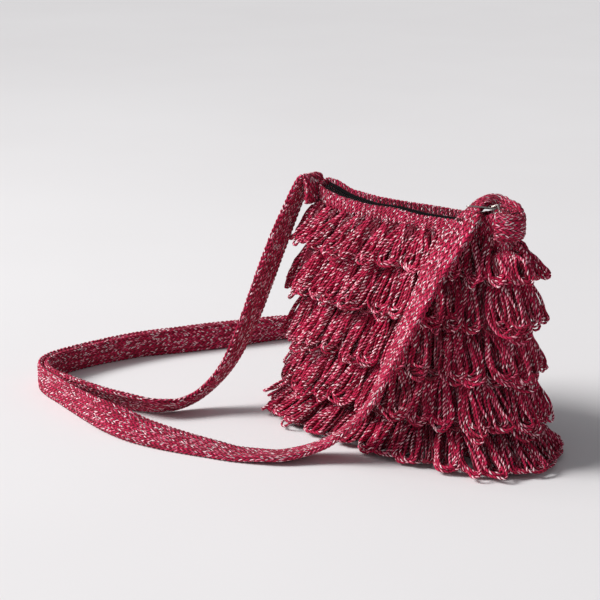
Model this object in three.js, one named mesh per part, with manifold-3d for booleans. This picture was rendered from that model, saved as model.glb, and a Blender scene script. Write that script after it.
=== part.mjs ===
// A small crocheted satchel: a soft pouch hung all round with five tiers of long yarn loops,
// closed by a zip along its top edge, on a long flat crocheted strap that lies beside it.
//
// Millimetres. The origin is the middle of the base, on the surface that the bag stands on.
// +X runs along the mouth towards the closed end of the zip, -Y is the front, +Z is up.

import * as THREE from 'three';
import Module from 'manifold-3d';
import { mergeVertices } from 'three/addons/utils/BufferGeometryUtils.js';

// ---- driving dimensions ----

const CLEARANCE = 0.3;             // between pieces that touch
const WALL = 3;                    // crocheted cloth of the pouch
const SQUARENESS = 2.8;            // exponent of the rounded-rectangle outline
const POUCH_COLUMNS = 44;

const STRAP_WIDTH = 22.5;
const STRAP_THICKNESS = 5;
const LAYER_PITCH = STRAP_THICKNESS + 0.8;   // between the two layers where the strap lies doubled
const STRAP_STEPS = 2;             // sections for each row of the strap's tables

const TEETH = 28;                  // bunches of loops around each tier
const SLIT_DEPTH = 9;              // how far the gap between two bunches reaches up
const SLIT_INSET = 3;              // how far the cloth draws in there
const HEM_THICKNESS = 7.5;         // of a tier at its lower edge
const ROOT_OFFSET = 0.6;           // of a tier's root from the pouch
const SHOULDER_DROP = 9;           // from a tier's root to where it stands full

const ZIP_STATIONS = 22;
const ZIP_START = -84;             // the end away from the slider
const ZIP_END = 84;
const ZIP_SINK = 1;                // of the zip below the front rim
const CHAIN_WIDTH = 4.4;
const CHAIN_THICKNESS = 1.6;
const TAPE_THICKNESS = 0.9;

const SLIDER_X = 74;               // the middle of the slider
const SLIDER_LENGTH = 9.4;
const SLIDER_WIDTH = 7.6;
const SLIDER_PLATE = 0.9;          // thickness of its two plates
const SLIDER_MOUTH = 2.3;          // space between the plates
const BRIDGE_LENGTH = 6;
const BRIDGE_RISE = 4.4;
const BRIDGE_THICKNESS = 1;

const PULL_THICKNESS = 1;
const PULL_TURN = 56;              // degrees from the zip's line, towards the front
const PULL_RISE = 22;              // degrees above the slider's plates

const CRIMSON = 0x9c1f3c;
const DARK_CRIMSON = 0x7d1830;
const BLACK = 0x141416;
const STEEL = 0xa9a7a4;

// The outside of the pouch, from its base up to where the plain band at the mouth begins.
const POUCH = [
  { z: 0, halfWidth: 87, halfDepth: 25 },
  { z: 7, halfWidth: 94, halfDepth: 31 },
  { z: 64, halfWidth: 93, halfDepth: 29 },
  { z: 103, halfWidth: 91, halfDepth: 23.5 },
  { z: 143, halfWidth: 90, halfDepth: 16.5 },
  { z: 170, halfWidth: 89.5, halfDepth: 11.5 },
];

// The mouth: how high its two rims stand, the space from the zip's middle to either rim, and how
// much higher the zip lies along the back rim than along the front one.
const MOUTH_HALF_WIDTH = 90;
const MOUTH = [
  { x: -90, front: 190, back: 195, gap: 3.4, twist: 3.5 },
  { x: -78, front: 186, back: 193, gap: 5.4, twist: 4 },
  { x: -65, front: 183, back: 187.5, gap: 6.2, twist: 1.5 },
  { x: -38, front: 180, back: 185.5, gap: 5.2, twist: 1 },
  { x: -15, front: 181, back: 185.5, gap: 4.8, twist: 1 },
  { x: 10, front: 179, back: 186, gap: 5, twist: 1 },
  { x: 38, front: 180, back: 186.2, gap: 4.8, twist: 1 },
  { x: 54, front: 182, back: 186.8, gap: 4.8, twist: 0.5 },
  { x: 68, front: 187.7, back: 191, gap: 4.8, twist: 0 },
  { x: 80, front: 192.5, back: 193.5, gap: 4.8, twist: 0 },
  { x: 90, front: 193.5, back: 193.5, gap: 3.6, twist: 0 },
];

// The tiers of loops, from the top down. Each hangs from its root to its hem, which is higher by
// the rise at the +X end, and stands off the pouch there.
const TIERS = [
  { name: 'loop_tier_1', root: 170, hem: 142, rise: 2, standOff: 20 },
  { name: 'loop_tier_2', root: 151, hem: 102, rise: 6, standOff: 22 },
  { name: 'loop_tier_3', root: 111, hem: 63, rise: 4, standOff: 20 },
  { name: 'loop_tier_4', root: 73, hem: 26, rise: 4, standOff: 23 },
  { name: 'loop_tier_5', root: 36, hem: 0, rise: 0, standOff: 37 },
];

// Half the pull's outline: its eye is at the origin and its tip at the far end.
const PULL = [
  { x: 2.5, halfWidth: 1.6 },
  { x: 1.8, halfWidth: 2.5 },
  { x: -2.2, halfWidth: 2.5 },
  { x: -4, halfWidth: 2.1 },
  { x: -7, halfWidth: 3.6 },
  { x: -18, halfWidth: 3 },
  { x: -20, halfWidth: 2.2 },
  { x: -20.8, halfWidth: 1 },
];

// The strap's middle line in stretches. Each row is a point and the direction across the strap
// there, and its width where it is gathered; rows without a z lie on the surface.

// Sewn up the left side of the pouch, folded over outwards at the top, and hanging down.
const STRAP_LEFT = [
  { x: -93.6, y: -4, z: 175, across: [0, -1, 0] },
  { x: -93.6, y: -4, z: 183, across: [0, -1, 0] },
  { x: -93.9, y: -3.8, z: 190, across: [0, -1, 0] },
  { x: -95.4, y: -3.3, z: 194.2, across: [0, -1, 0] },
  { x: -98.2, y: -3.2, z: 196.2, across: [0, -1, 0.05] },
  { x: -101.8, y: -4.6, z: 193.4, across: [0.08, -1, 0.1] },
  { x: -105, y: -7.8, z: 185.5, across: [0.13, -0.96, 0.18] },
  { x: -109.1, y: -12.8, z: 171.4, across: [0.1, -0.95, 0.28] },
  { x: -116.4, y: -22.2, z: 143, across: [-0.02, -0.94, 0.31] },
  { x: -124, y: -32.2, z: 110.1, across: [-0.04, -0.94, 0.31] },
  { x: -131.9, y: -41.9, z: 76.8, across: [0.02, -0.93, 0.36] },
  { x: -141, y: -55.5, z: 43.6, across: [0.22, -0.9, 0.38] },
  { x: -150, y: -66, z: 26, across: [0.38, -0.79, 0.46] },
  { x: -160.5, y: -78, z: 13.5, across: [0.55, -0.6, 0.58] },
  { x: -170, y: -93, across: [0.6, -0.5, 0.6] },
  { x: -182, y: -105.5, across: [0.38, -0.62, 0.68] },
  { x: -200, y: -112, across: [0.12, -0.6, 0.79] },
  { x: -220, y: -115.5, across: [0.08, -0.56, 0.82] },
  { x: -243, y: -119, across: [0.05, -0.42, 0.9] },
  { x: -263, y: -121.5, across: [0, -0.15, 1] },
];

// The stretch that lies doubled, standing on its edge: the line between its two layers.
const STRAP_DOUBLED = [
  { x: -284, y: -123, lean: 0 },
  { x: -299, y: -116, lean: 0 },
  { x: -309, y: -106.5, lean: 0 },
  { x: -314, y: -95, lean: 5 },
  { x: -315, y: -82, lean: 12 },
  { x: -313, y: -64, lean: 15 },
  { x: -308, y: -43, lean: 15 },
  { x: -301.5, y: -23, lean: 12 },
  { x: -293.5, y: -3, lean: 10 },
  { x: -284, y: 12.5, lean: 5 },
  { x: -274, y: 28, lean: 0 },
  { x: -264, y: 44.5, lean: -5 },
  { x: -253.5, y: 61, lean: -8 },
  { x: -243, y: 79, lean: 0 },
  { x: -233, y: 97.5, lean: 10 },
  { x: -221, y: 116, lean: 15 },
  { x: -205, y: 131.5, lean: 15 },
  { x: -186, y: 143.5, lean: 8 },
];

// The turn at the middle of the strap, behind the bag.
const STRAP_TURN = [
  { x: -170, y: 145.5 },
  { x: -158, y: 149.5 },
  { x: -153, y: 156 },
  { x: -157, y: 162 },
  { x: -170, y: 159 },
];

// Along the surface, up across the front of the bag, over its mouth, and round the zip's closed end
// as a standing hood, sewn along the band.
const STRAP_RIGHT = [
  { x: -262, y: -132.5, across: [0, 0, 1] },
  { x: -240, y: -139, across: [0, 0.05, 1] },
  { x: -218, y: -145, across: [0.02, 0.15, 1] },
  { x: -196, y: -149.5, across: [0.04, 0.35, 0.93] },
  { x: -174, y: -150.5, across: [0, 0.65, 0.76] },
  { x: -154, y: -149, across: [-0.1, 0.85, 0.5] },
  { x: -134, y: -145.5, across: [-0.18, 0.92, 0.36] },
  { x: -114, y: -140.5, across: [-0.25, 0.94, 0.22] },
  { x: -94, y: -134.5, across: [-0.25, 0.96, 0.1] },
  { x: -75, y: -129, across: [-0.4, 0.92, 0] },
  { x: -58, y: -122, across: [-0.6, 0.8, -0.08] },
  { x: -42.5, y: -113.5, across: [-0.74, 0.66, -0.14] },
  { x: -26.5, y: -97.3, z: 8, across: [-0.56, 0.81, -0.15] },
  { x: -14, y: -88, z: 15, across: [-0.47, 0.88, -0.08] },
  { x: -2.8, y: -82, z: 25.5, across: [-0.45, 0.88, -0.1] },
  { x: 9.5, y: -74, z: 42, across: [-0.52, 0.85, 0] },
  { x: 21.8, y: -69, z: 69, across: [-0.6, 0.8, 0.06] },
  { x: 33.3, y: -63, z: 99.7, across: [-0.76, 0.64, 0.14] },
  { x: 41, y: -56.5, z: 123, across: [-0.86, 0.49, 0.14] },
  { x: 48.3, y: -48, z: 147, across: [-0.93, 0.33, 0.12] },
  { x: 54.3, y: -36.5, z: 166, across: [-0.98, 0.15, 0.08] },
  { x: 57, y: -24.5, z: 178, across: [-0.99, 0.1, 0] },
  { x: 56.5, y: -12.5, z: 185.6, across: [-0.95, 0.2, -0.2], width: 23 },
  { x: 53.1, y: -3.5, z: 187.7, across: [-0.95, 0.22, -0.17], width: 16 },
  { x: 53.2, y: 0.4, z: 188.9, across: [-0.94, 0.3, -0.14], width: 14 },
  { x: 57, y: 5.7, z: 194.9, across: [-0.85, 0.45, -0.12], width: 15 },
  { x: 64.5, y: 13.7, z: 195.1, across: [-0.45, 0.45, 0.75], width: 13 },
  { x: 73, y: 14.8, z: 189.6, across: [-0.05, -0.05, 1], width: 17 },
  { x: 80.5, y: 13.9, z: 188.8, across: [0, -0.12, 1], width: 18 },
  { x: 87.3, y: 11, z: 183.4, across: [-0.05, -0.1, 1], width: 17.5 },
  { x: 92, y: 6, z: 182.6, across: [0, 0, 1], width: 17.5 },
  { x: 94, y: -0.5, z: 182.6, across: [0, 0, 1], width: 19 },
  { x: 91.8, y: -7.4, z: 182.8, across: [0, 0.06, 1], width: 19.5 },
  { x: 86.5, y: -11.9, z: 183, across: [0, 0.14, 1], width: 20 },
  { x: 80.5, y: -13.2, z: 183.2, across: [0, 0.15, 1], width: 20 },
];

// ---- shared helpers ----

const wasm = await Module();
wasm.setup();

const group = new THREE.Group();

function addPiece(name, geometry, color, roughness, metalness) {
  const material = new THREE.MeshStandardMaterial({ color, roughness, metalness });
  const mesh = new THREE.Mesh(geometry, material);
  mesh.name = name;
  group.add(mesh);
  return mesh;
}

// A column of a table at a place between two of its rows.
function lookUp(rows, key, place, column) {
  if (place <= rows[0][key]) return rows[0][column];
  for (let i = 1; i < rows.length; i += 1) {
    const low = rows[i - 1];
    const high = rows[i];
    if (place <= high[key]) {
      const share = (place - low[key]) / (high[key] - low[key]);
      return low[column] + (high[column] - low[column]) * share;
    }
  }
  return rows[rows.length - 1][column];
}

// A closed solid through a list of rings of points. The rings close on themselves; the list is
// capped at both ends, or closes into a band.
function loft(rings, closesIntoBand) {
  const count = rings[0].length;
  const positions = rings.flat().flatMap((point) => [point.x, point.y, point.z]);
  const triangles = [];
  const steps = closesIntoBand ? rings.length : rings.length - 1;
  for (let i = 0; i < steps; i += 1) {
    const here = i * count;
    const next = ((i + 1) % rings.length) * count;
    for (let j = 0; j < count; j += 1) {
      const k = (j + 1) % count;
      triangles.push(here + j, here + k, next + j, here + k, next + k, next + j);
    }
  }
  if (!closesIntoBand) {
    addCap(positions, triangles, rings[0], 0, true);
    addCap(positions, triangles, rings[rings.length - 1], (rings.length - 1) * count, false);
  }
  const geometry = new THREE.BufferGeometry();
  geometry.setAttribute('position', new THREE.Float32BufferAttribute(positions, 3));
  geometry.setIndex(signedVolume(positions, triangles) < 0 ? flipped(triangles) : triangles);
  return geometry;
}

// A fan of triangles from the middle of an end ring.
function addCap(positions, triangles, ring, first, isStart) {
  const middle = new THREE.Vector3();
  ring.forEach((point) => middle.add(point));
  middle.divideScalar(ring.length);
  const centre = positions.length / 3;
  positions.push(middle.x, middle.y, middle.z);
  for (let j = 0; j < ring.length; j += 1) {
    const a = first + j;
    const b = first + ((j + 1) % ring.length);
    triangles.push(...(isStart ? [centre, b, a] : [centre, a, b]));
  }
}

function signedVolume(positions, triangles) {
  let volume = 0;
  const corners = [new THREE.Vector3(), new THREE.Vector3(), new THREE.Vector3()];
  for (let i = 0; i < triangles.length; i += 3) {
    corners.forEach((corner, j) => corner.fromArray(positions, triangles[i + j] * 3));
    volume += corners[0].dot(corners[1].cross(corners[2]));
  }
  return volume / 6;
}

function flipped(triangles) {
  const turned = [];
  for (let i = 0; i < triangles.length; i += 3) {
    turned.push(triangles[i], triangles[i + 2], triangles[i + 1]);
  }
  return turned;
}

function toManifold(geometry) {
  const bare = geometry.clone();
  bare.deleteAttribute('normal');
  bare.deleteAttribute('uv');
  const merged = mergeVertices(bare);
  const triVerts = merged.index
    ? new Uint32Array(merged.index.array)
    : Uint32Array.from({ length: merged.attributes.position.count }, (_, i) => i);
  const vertProperties = new Float32Array(merged.attributes.position.array);
  return new wasm.Manifold(new wasm.Mesh({ numProp: 3, vertProperties, triVerts }));
}

function fromManifold(solid) {
  const { vertProperties, triVerts } = solid.getMesh();
  const geometry = new THREE.BufferGeometry();
  geometry.setAttribute('position', new THREE.Float32BufferAttribute(vertProperties, 3));
  geometry.setIndex(Array.from(triVerts));
  return geometry;
}

// ---- the pouch and its tiers of loops ----

const signedPower = (value, power) => Math.sign(value) * Math.abs(value) ** power;

// A point of the rounded-rectangle outline.
function outlinePoint(halfWidth, halfDepth, angle) {
  return {
    x: halfWidth * signedPower(Math.cos(angle), 2 / SQUARENESS),
    y: halfDepth * signedPower(Math.sin(angle), 2 / SQUARENESS),
  };
}

// Angles that divide a typical outline of the bag into equal lengths.
function evenAngles(count) {
  const SAMPLES = 4000;
  const [halfWidth, halfDepth] = [105, 38];
  const lengths = [0];
  let before = outlinePoint(halfWidth, halfDepth, 0);
  for (let i = 1; i <= SAMPLES; i += 1) {
    const here = outlinePoint(halfWidth, halfDepth, (2 * Math.PI * i) / SAMPLES);
    lengths.push(lengths[i - 1] + Math.hypot(here.x - before.x, here.y - before.y));
    before = here;
  }
  const angles = [];
  let sample = 0;
  for (let i = 0; i < count; i += 1) {
    const target = (lengths[SAMPLES] * (i + 0.5)) / count;
    while (lengths[sample] < target) sample += 1;
    angles.push((2 * Math.PI * sample) / SAMPLES);
  }
  return angles;
}

function pouchRing(angles, z, offset) {
  const halfWidth = lookUp(POUCH, 'z', z, 'halfWidth') + offset;
  const halfDepth = lookUp(POUCH, 'z', z, 'halfDepth') + offset;
  return angles.map((angle) => {
    const { x, y } = outlinePoint(halfWidth, halfDepth, angle);
    return new THREE.Vector3(x, y, z);
  });
}

// The ring of the mouth, drawn in from its outside by an inset and down by a drop.
function mouthRing(angles, inset, drop) {
  return angles.map((angle) => {
    const { x } = outlinePoint(MOUTH_HALF_WIDTH - inset, 1, angle);
    const side = Math.sin(angle);
    const roundedEnd = Math.min(1, Math.abs(side) * 4);
    const halfDepth = (lookUp(MOUTH, 'x', x, 'gap') + WALL - inset) * roundedEnd;
    return new THREE.Vector3(x, Math.sign(side) * halfDepth, rimHeight(x, side) - drop);
  });
}

function rimHeight(x, side) {
  const front = lookUp(MOUTH, 'x', x, 'front');
  const back = lookUp(MOUTH, 'x', x, 'back');
  return front + (back - front) * THREE.MathUtils.smoothstep(side, -0.3, 0.3);
}

function pouch() {
  const angles = evenAngles(POUCH_COLUMNS);
  const outside = POUCH.map((row) => pouchRing(angles, row.z, 0));
  const inside = POUCH.slice(1).map((row) => pouchRing(angles, row.z, -WALL)).reverse();
  const floor = pouchRing(angles, POUCH[1].z / 2, -WALL - 3);
  return loft([...outside, mouthRing(angles, 0, 0), mouthRing(angles, WALL, 0), ...inside, floor]);
}

// One tier: a ring of cloth-thick fringe whose lower edge is a comb of bunches.
function tier({ root, hem, rise, standOff }, index) {
  const angles = evenAngles(TEETH * 4);
  const corner = (place, offset) => angles.map((angle, column) => {
    const quarter = (column + 2 * index) % 4;
    const bunch = Math.floor((column + 2 * index) / 4);
    const inSlit = quarter === 0;
    const uneven = Math.sin(bunch * 2.4 + index) + Math.sin(bunch * 5.1 + 2 * index);
    const level = rise * (0.5 + 0.5 * outlinePoint(1, 1, angle).x);
    const drop = root - hem;
    let z = root + level - drop * place;
    let out = offset;
    if (place === 1) {
      const isOnSurface = hem === 0;
      z += isOnSurface ? 0 : 1.5 + uneven;
      if (inSlit) z += SLIT_DEPTH;
      if (inSlit) out -= SLIT_INSET;
      else out += 0.5 * uneven;
    }
    return pouchRing([angle], z, out)[0];
  });
  const shoulder = SHOULDER_DROP / (root - hem);
  return loft([
    corner(0, ROOT_OFFSET + 3),
    corner(shoulder, ROOT_OFFSET + 7),
    corner(1, standOff),
    corner(1, standOff - HEM_THICKNESS),
    corner(shoulder * 0.6, ROOT_OFFSET),
  ], true);
}

// ---- the strap ----

// The middle line and the direction across it at every section, from the left end to the right.
function strapSections() {
  const rows = [
    ...STRAP_LEFT,
    ...layer(STRAP_DOUBLED, 1),
    ...STRAP_TURN,
    ...layer(STRAP_DOUBLED, -1).reverse(),
    ...STRAP_RIGHT,
  ];
  const line = new THREE.CatmullRomCurve3(
    rows.map((row) => new THREE.Vector3(row.x, row.y, row.z ?? lyingHeight(row))),
    false, 'centripetal');
  const sections = [];
  const last = (rows.length - 1) * STRAP_STEPS;
  for (let i = 0; i <= last; i += 1) {
    const row = Math.min(Math.floor(i / STRAP_STEPS), rows.length - 2);
    const share = i / STRAP_STEPS - row;
    const centre = line.getPoint(i / last);
    const along = line.getTangent(i / last);
    const across = new THREE.Vector3(...(rows[row].across ?? [0, 0, 1]));
    across.lerp(new THREE.Vector3(...(rows[row + 1].across ?? [0, 0, 1])), share);
    across.addScaledVector(along, -across.dot(along)).normalize();
    const face = new THREE.Vector3().crossVectors(along, across);
    const widths = [rows[row].width ?? STRAP_WIDTH, rows[row + 1].width ?? STRAP_WIDTH];
    const width = widths[0] + (widths[1] - widths[0]) * share;
    const reach = (Math.abs(across.z) * width + Math.abs(face.z) * STRAP_THICKNESS) / 2;
    centre.z = Math.max(centre.z, reach);
    sections.push({ centre, across, face, width });
  }
  return sections;
}

// How high the middle of a section stands when its lower edge is on the surface.
function lyingHeight(row) {
  const [x, y, z] = row.across ?? [0, 0, 1];
  const rise = Math.abs(z) / Math.hypot(x, y, z);
  return (rise * STRAP_WIDTH + Math.sqrt(1 - rise * rise) * STRAP_THICKNESS) / 2;
}

// One layer of the doubled stretch, to the right (1) or left (-1) of the line between them. A
// positive lean tips the upper edges to the right.
function layer(rows, side) {
  return rows.map((row, i) => {
    const before = rows[Math.max(i - 1, 0)];
    const after = rows[Math.min(i + 1, rows.length - 1)];
    const right = new THREE.Vector3(after.y - before.y, before.x - after.x, 0).normalize();
    const lean = THREE.MathUtils.degToRad(row.lean);
    const shift = (side * LAYER_PITCH) / 2;
    const across = [Math.sin(lean) * right.x, Math.sin(lean) * right.y, Math.cos(lean)];
    return { x: row.x + right.x * shift, y: row.y + right.y * shift, across };
  });
}

function strap() {
  const corners = [[-1, -1], [1, -1], [1, 1], [-1, 1]];
  return loft(strapSections().map((section) => corners.map(([a, f]) => section.centre
    .clone()
    .addScaledVector(section.across, (a * section.width) / 2)
    .addScaledVector(section.face, (f * STRAP_THICKNESS) / 2))));
}

// ---- the zip ----

const zipHeight = (x) => lookUp(MOUTH, 'x', x, 'front') - ZIP_SINK;

// A strip of the zip between two distances from its middle, in a cross-section of four corners.
function zipStrip(near, far, thickness, end) {
  const rings = [];
  for (let i = 0; i <= ZIP_STATIONS; i += 1) {
    const x = ZIP_START + ((end - ZIP_START) * i) / ZIP_STATIONS;
    const gap = lookUp(MOUTH, 'x', x, 'gap');
    const twist = lookUp(MOUTH, 'x', x, 'twist');
    const corner = (y, up) => new THREE.Vector3(
      x, y, zipHeight(x) + twist * (0.5 + y / (2 * gap)) + (up * thickness) / 2);
    rings.push([
      corner(near(gap), -1), corner(far(gap), -1), corner(far(gap), 1), corner(near(gap), 1)]);
  }
  return loft(rings);
}

function zipTape(side) {
  const inner = CHAIN_WIDTH / 2 + CLEARANCE;
  const outer = (gap) => side * (gap - 2 * CLEARANCE);
  return zipStrip(() => side * inner, outer, TAPE_THICKNESS, ZIP_END);
}

function zipChain() {
  const half = CHAIN_WIDTH / 2;
  return zipStrip(() => -half, () => half, CHAIN_THICKNESS, SLIDER_X + SLIDER_LENGTH * 0.1);
}

// A flat plate from an outline in its own plane, its lower face at a height.
function plate(points, thickness, height) {
  const shape = new THREE.Shape(points.map(([x, y]) => new THREE.Vector2(x, y)));
  const geometry = new THREE.ExtrudeGeometry(shape, { depth: thickness, bevelEnabled: false });
  return geometry.translate(0, 0, height);
}

function box(length, width, height, x, y, z) {
  return new THREE.BoxGeometry(length, width, height).translate(x, y, z);
}

// The slider and its pull are drawn level, about the middle of the slider, and then set on the
// chain where the mouth rises.
function placeOnZip(geometry) {
  const slope = Math.atan2(zipHeight(SLIDER_X + 4) - zipHeight(SLIDER_X - 4), 8);
  return geometry.rotateY(-slope).translate(SLIDER_X, 0, zipHeight(SLIDER_X));
}

function zipSlider() {
  const [length, width] = [SLIDER_LENGTH / 2, SLIDER_WIDTH / 2];
  const outline = [
    [-length, -width * 0.7], [-length * 0.5, -width], [length * 0.6, -width],
    [length, -width * 0.55], [length, width * 0.55], [length * 0.6, width],
    [-length * 0.5, width], [-length, width * 0.7]];
  const inside = SLIDER_MOUTH / 2;
  const top = inside + SLIDER_PLATE;
  const legs = [-1, 1].map((end) => {
    const at = (end * (BRIDGE_LENGTH - BRIDGE_THICKNESS)) / 2;
    const height = BRIDGE_RISE + BRIDGE_THICKNESS;
    return box(BRIDGE_THICKNESS, 1.6, height, at, 0, top + height / 2);
  });
  const pieces = [
    plate(outline, SLIDER_PLATE, inside),
    plate(outline, SLIDER_PLATE, -top),
    box(2, 2.2, SLIDER_MOUTH, length - 2, 0, 0),
    box(BRIDGE_LENGTH, 1.6, BRIDGE_THICKNESS, 0, 0, top + BRIDGE_RISE + BRIDGE_THICKNESS / 2),
    ...legs,
  ];
  return placeOnZip(fromManifold(wasm.Manifold.union(pieces.map(toManifold))));
}

// The pull lies over the strap, its eye round the near leg of the slider's bridge.
function zipPull() {
  const right = PULL.map(({ x, halfWidth }) => new THREE.Vector2(x, halfWidth));
  const left = PULL.map(({ x, halfWidth }) => new THREE.Vector2(x, -halfWidth)).reverse();
  const shape = new THREE.Shape([...right, ...left]);
  const corners = [[-1.8, -1.5], [-1.8, 1.5], [1.7, 1.5], [1.7, -1.5]];
  shape.holes.push(new THREE.Path(corners.map(([x, y]) => new THREE.Vector2(x, y))));
  const geometry = new THREE.ExtrudeGeometry(shape, {
    depth: PULL_THICKNESS, bevelEnabled: false });
  const leg = (BRIDGE_THICKNESS - BRIDGE_LENGTH) / 2;
  geometry.translate(0, 0, -PULL_THICKNESS / 2);
  geometry.rotateY(THREE.MathUtils.degToRad(PULL_RISE));
  geometry.rotateZ(THREE.MathUtils.degToRad(PULL_TURN));
  geometry.translate(leg, 0, SLIDER_MOUTH / 2 + SLIDER_PLATE + BRIDGE_RISE * 0.7);
  return placeOnZip(geometry);
}

group.name = 'crochet_satchel';
addPiece('pouch', pouch(), CRIMSON, 0.9, 0);
TIERS.forEach((row, index) => {
  addPiece(row.name, tier(row, index), index % 2 ? DARK_CRIMSON : CRIMSON, 0.9, 0);
});
addPiece('strap', strap(), CRIMSON, 0.9, 0);
addPiece('zip_tape_front', zipTape(-1), BLACK, 0.8, 0);
addPiece('zip_tape_back', zipTape(1), BLACK, 0.8, 0);
addPiece('zip_chain', zipChain(), BLACK, 0.5, 0);
addPiece('zip_slider', zipSlider(), STEEL, 0.35, 0.9);
addPiece('zip_pull', zipPull(), STEEL, 0.35, 0.9);

export default group;
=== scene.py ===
"""The looks of a small crocheted satchel: a soft pouch hung with five tiers of long yarn loops,
closed by a zip, on a long flat crocheted strap. Lengths are millimetres until a mesh is made, and
metres after."""

import math

import bpy
import numpy as np
from mathutils import Matrix, Vector


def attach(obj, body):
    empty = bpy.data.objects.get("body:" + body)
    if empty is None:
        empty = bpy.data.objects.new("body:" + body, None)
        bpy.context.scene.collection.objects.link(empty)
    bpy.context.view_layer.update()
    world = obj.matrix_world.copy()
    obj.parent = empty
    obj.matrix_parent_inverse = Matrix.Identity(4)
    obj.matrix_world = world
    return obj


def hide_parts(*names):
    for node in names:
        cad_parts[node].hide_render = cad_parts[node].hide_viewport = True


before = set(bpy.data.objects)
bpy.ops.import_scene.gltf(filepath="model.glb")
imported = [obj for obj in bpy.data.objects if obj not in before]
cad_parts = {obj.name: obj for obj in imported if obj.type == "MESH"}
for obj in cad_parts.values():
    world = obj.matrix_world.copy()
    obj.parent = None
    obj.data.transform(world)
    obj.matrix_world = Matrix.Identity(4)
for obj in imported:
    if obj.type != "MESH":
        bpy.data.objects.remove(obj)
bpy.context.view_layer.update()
MM = 0.001
BODY = "root"

# ---- sizes, as in the construction ----

WALL = 3.0  # of the pouch
SQUARENESS = 2.8  # power of the bag's outline: 2 is an ellipse

STRAP_WIDTH = 22.5
STRAP_THICKNESS = 5.0
LAYER_PITCH = STRAP_THICKNESS + 0.8  # between the middles of the two layers behind the bag
SMOOTHED_OVER = 5  # to either side, of the strap's middle line, its twist and its width

ZIP_SINK = 1.0  # of the zip below the front rim
ZIP_START = -84.0
CHAIN_WIDTH = 4.4
CHAIN_THICKNESS = 1.6
COIL_PITCH = 1.6
COIL_THREAD = 0.42  # radius
COIL_POINTS, COIL_SIDES = 12, 5  # round each ring of the coil, and round its thread
SLIDER_X = 74.0
SLIDER_HALF = 4.7

BUNCHES = 28  # of loops, round each layer of a tier
# A tier's layers, outside and inside: loops in a bunch, points round a loop, sides of the yarn.
LAYERS = [
    (8, 40, 6),
    (6, 24, 4),
]
LAYER_SINK = 6  # of the inside layer, behind the outside one
MIDDLE_REACH = 47  # from root to hem, of a loop of middle length
YARN = 1.0  # radius of the yarn in the loops
YARN_LUMPS = 0.13  # share by which its radius varies
YARN_LEAST_Z, STRAP_LEAST_Z = 0.02, 0.05  # of their surfaces, just off the floor
ROOT_OUT, SHOULDER_OUT = 1.2, 6.3  # of a loop from the pouch, at its root and a fifth of the way down
NARROWEST = 2.4  # least half width of a loop
CORNER_LIFT = 5  # of the top tier's loops at the -X end
STRAY_SHARE = 0.12  # of the loops, those that hang out of line
INNER_TURNS = 10  # first turn in the yarn map of the inside layer's loops, which the yarn's material darkens with painted shade
LONGEST_SHIFT = 4000  # of a loop's yarn map along the yarn
LOOPS_HALF_WIDTH, LOOPS_HALF_DEPTH = 105, 38  # of the outline that the loops are spaced along

OVER_LOOPS_PITCH = 2.5  # between the strap's sections, where the loops are measured against it
MARGIN = 4.5  # width of the strip of loops beside the strap that it presses down
GUTTER, GUTTER_DEPTH = 12, 6.5  # that width on the strap's +X side, and how much deeper they lie there
# Where the strap crosses the front: how far the loops are brought out, by place from its -X edge.
PLACE_FROM_EDGE = [-18, -4, 2, 9, 16, 24, 32]
BROUGHT_OUT = [0, 9, 9, 0, -5, -4, 0]

# The outside of the pouch: height, half width, half depth.
POUCH = np.array([
    (0, 87, 25),
    (7, 94, 31),
    (64, 93, 29),
    (103, 91, 23.5),
    (143, 90, 16.5),
    (170, 89.5, 11.5),
])

# The mouth: place along it, height of its front and back rims, space from its middle to either rim,
# how much higher the zip lies along the back rim than along the front one.
MOUTH_HALF_WIDTH = 90.0
MOUTH = np.array([
    (-90, 190, 195, 3.4, 3.5),
    (-78, 186, 193, 5.4, 4),
    (-65, 183, 187.5, 6.2, 1.5),
    (-38, 180, 185.5, 5.2, 1),
    (-15, 181, 185.5, 4.8, 1),
    (10, 179, 186, 5, 1),
    (38, 180, 186.2, 4.8, 1),
    (54, 182, 186.8, 4.8, 0.5),
    (68, 187.7, 191, 4.8, 0),
    (80, 192.5, 193.5, 4.8, 0),
    (90, 193.5, 193.5, 3.6, 0),
])

# The tiers of loops, from the top down: CAD node, root, hem, rise at the +X end, stand-off at the hem.
TIERS = [
    ("loop_tier_1", 170, 142, 2, 20),
    ("loop_tier_2", 151, 102, 6, 22),
    ("loop_tier_3", 111, 63, 4, 20),
    ("loop_tier_4", 73, 26, 4, 23),
    ("loop_tier_5", 36, 0, 0, 37),
]

# Single loops that stand out from the rest: the tier's number, place round the bag in degrees from
# +X, how far they stand past the tier, half their width.
SINGLE_LOOPS = [
    (1, 176, 3, 4),
    (1, 345, 5, 5),
    (1, 8, 5, 4),
    (2, 186, 9, 5),
    (2, 338, 7, 6),
    (2, 352, 5, 5),
    (3, 190, 4, 4),
    (3, 348, 5, 5),
    (4, 184, 6, 5),
    (4, 345, 4, 5),
    (5, 172, 9, 6),
    (5, 186, 7, 5),
    (5, 215, 4, 5),
    (5, 350, 5, 5),
]

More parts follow.
